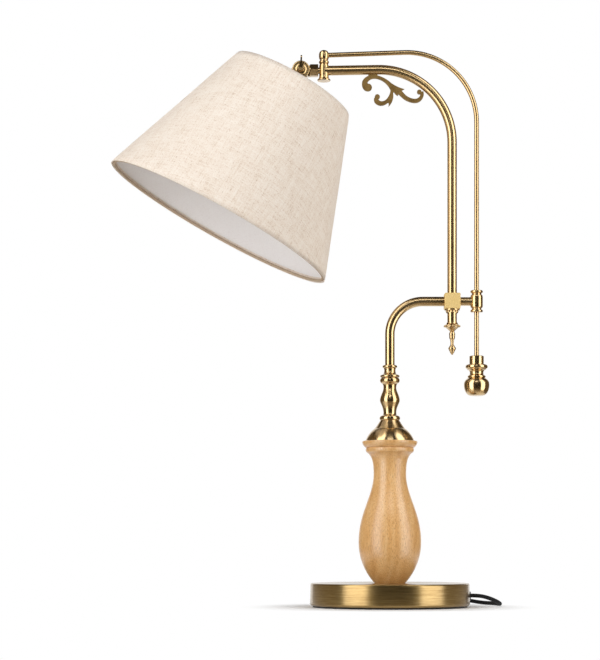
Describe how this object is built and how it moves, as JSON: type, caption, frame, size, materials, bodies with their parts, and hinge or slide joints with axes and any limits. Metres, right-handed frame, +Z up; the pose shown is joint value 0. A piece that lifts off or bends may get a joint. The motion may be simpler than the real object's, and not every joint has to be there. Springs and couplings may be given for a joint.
{
  "type": "table lamp with a swinging, counterweighted arm",
  "caption": "Table lamp with a turned wooden column, a swivelling bent brass arm with a counterweight rod, a scroll bracket and a tilting linen drum-cone shade on a wing-screw knuckle.",
  "frame": {"origin": "centre of the round foot, on the surface that the lamp stands on", "axes": "+Z up; +X from the swivel towards the upright arm and the counterweight; +Y to the back, away from the side with the wing screw"},
  "size_m": [0.4921, 0.3492, 0.6962],
  "materials": {
    "felt": "matte",
    "base_metal": "satin",
    "iron": "matte",
    "steel": "satin",
    "oak": "satin",
    "aged_brass": "satin",
    "dark_bronze": "matte",
    "moulding": "satin",
    "thread_shell": "satin",
    "opal_glass": "satin",
    "white_wire": "satin",
    "linen": "matte",
    "braid": "matte",
    "flex": "matte"
  },
  "bodies": {
    "base": {"felt_pad": "felt", "base_shell": "base_metal", "base_weight": "iron", "weight_washer": "steel", "weight_nut": "steel", "stem_tube": "steel", "wood_column": "oak", "bell_cap": "aged_brass", "column_neck": "aged_brass", "base_lead": "flex", "cord_grommet": "moulding", "cord_anchor": "moulding", "supply_cord": "braid", "switch_base": "moulding", "switch_cover": "moulding", "switch_screw_left": "steel", "switch_screw_right": "steel", "coil_feed": "braid", "cord_coil": "braid", "coil_tie": "moulding", "plug_feed": "braid", "plug_body": "moulding", "plug_pin_near": "steel", "plug_pin_far": "steel"},
    "swing_arm": {"swivel_collar": "aged_brass", "collar_grub_screw": "steel", "gooseneck": "aged_brass", "cross_block": "aged_brass", "main_arm": "aged_brass", "guide_link": "aged_brass", "rod_guide": "aged_brass", "balance_rod": "aged_brass", "counterweight": "aged_brass", "tail_collar": "aged_brass", "tail_tube": "aged_brass", "finial_cup": "aged_brass", "finial_drop": "aged_brass", "arm_post": "aged_brass", "scroll_bracket": "dark_bronze", "hex_coupling": "aged_brass", "knuckle_base": "aged_brass", "arm_lead": "flex"},
    "head": {"knuckle_head": "aged_brass", "socket_cap": "aged_brass", "lamp_holder": "moulding", "holder_thread": "thread_shell", "holder_ring": "moulding", "shade_fitter": "white_wire", "shade_bottom_ring": "white_wire", "shade_shell": "linen", "bulb_glass": "opal_glass", "bulb_cap": "thread_shell"},
    "wing_screw": {"wing_washer": "aged_brass", "wing_screw": "aged_brass"},
    "switch_rocker": {"switch_rocker": "moulding"}
  },
  "joints": [
    {"name": "arm_swing", "type": "hinge", "parent": "base", "child": "swing_arm", "pos_m": [0, 0, 0.2866], "axis": [0, 0, 1], "range_deg": [-170, 170]},
    {"name": "shade_tilt", "type": "hinge", "parent": "swing_arm", "child": "head", "pos_m": [-0.1112, 0, 0.67041], "axis": [0, 1, 0], "range_deg": [-22, 60]},
    {"name": "wing_turn", "type": "hinge", "parent": "swing_arm", "child": "wing_screw", "pos_m": [-0.1112, 0, 0.67041], "axis": [0, 1, 0], "range_deg": [0, 180]},
    {"name": "rocker_throw", "type": "hinge", "parent": "base", "child": "switch_rocker", "pos_m": [0.051, 0.118, 0.0162], "axis": [0, 1, 0], "range_deg": [0, 14]}
  ]
}
